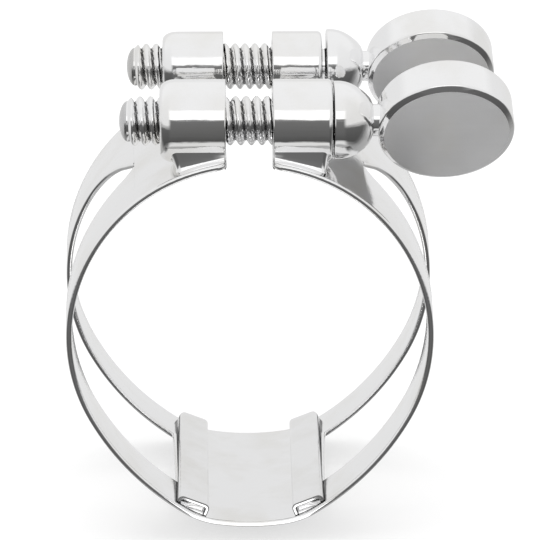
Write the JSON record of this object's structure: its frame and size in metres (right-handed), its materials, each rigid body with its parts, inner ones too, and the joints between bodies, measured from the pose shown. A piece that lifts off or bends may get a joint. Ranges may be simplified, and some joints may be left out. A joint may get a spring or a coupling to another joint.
{
  "type": "saxophone ligature",
  "caption": "Slotted sheet band that clamps a reed to a mouthpiece with thumbscrews through soldered posts, and carries reed rails inside its floor.",
  "frame": {"origin": "on the axis of the bore that takes the mouthpiece, halfway along the band", "axes": "+X to the thumbscrew heads, +Y along the bore to the wide rear edge, +Z from the reed rails to the screws"},
  "size_m": [0.0332, 0.0202, 0.0367],
  "materials": {
    "band": "bright silver plate on rolled sheet",
    "post": "polished silver plate on turned posts",
    "rail": "silver plate on pressed channel",
    "screw": "polished silver plate on turned screws"
  },
  "bodies": {
    "right_arm": {"band_right": "band", "post_front_right": "post", "post_rear_right": "post", "reed_rail_left": "rail", "reed_rail_right": "rail"},
    "left_arm": {"band_left": "band", "post_front_left": "post", "post_rear_left": "post"},
    "front_screw": {"thumbscrew_front": "screw"},
    "rear_screw": {"thumbscrew_rear": "screw"}
  },
  "joints": [
    {"name": "front_screw_turn", "type": "hinge", "parent": "right_arm", "child": "front_screw", "pos_m": [0.0139, -0.0065, 0.0153], "axis": [-1, 0, 0], "range_deg": [-360, 450]},
    {"name": "rear_screw_turn", "type": "hinge", "parent": "right_arm", "child": "rear_screw", "pos_m": [0.0139, 0.00635, 0.0163], "axis": [-1, 0, 0], "range_deg": [-361, 451]},
    {"name": "band_flex", "type": "hinge", "parent": "right_arm", "child": "left_arm", "pos_m": [-0.0065, 0, -0.0126], "axis": [0, 1, 0], "range_deg": [-1.6, 1.95]}
  ],
  "couplings": [
    {"joint": "rear_screw_turn", "follows": "front_screw_turn", "ratio": 1},
    {"joint": "band_flex", "follows": "front_screw_turn", "ratio": 0.0042}
  ]
}
